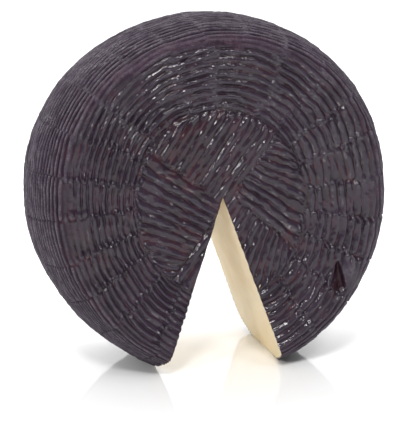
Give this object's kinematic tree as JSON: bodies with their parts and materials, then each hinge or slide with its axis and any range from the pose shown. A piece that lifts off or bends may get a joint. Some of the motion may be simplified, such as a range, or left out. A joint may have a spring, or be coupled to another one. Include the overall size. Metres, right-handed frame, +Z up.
{
  "type": "cheese wheel",
  "caption": "Wheel of basket-pressed cheese with a dark coated rind and a wedge cut out of it, standing on its rim.",
  "frame": {"origin": "bottom centre of the part's box, on the floor midway between the two corners that the wheel stands on", "axes": "+Z up, +Y along the wheel's axis from the front face to the back face, +X to the right as seen from the front"},
  "size_m": [0.3003, 0.1238, 0.288],
  "materials": {
    "rind": "thin glossy dark aubergine coat over the rind, with cream cheese on the cut faces"
  },
  "bodies": {
    "root": {"cheese_wheel": "rind"}
  },
  "joints": []
}
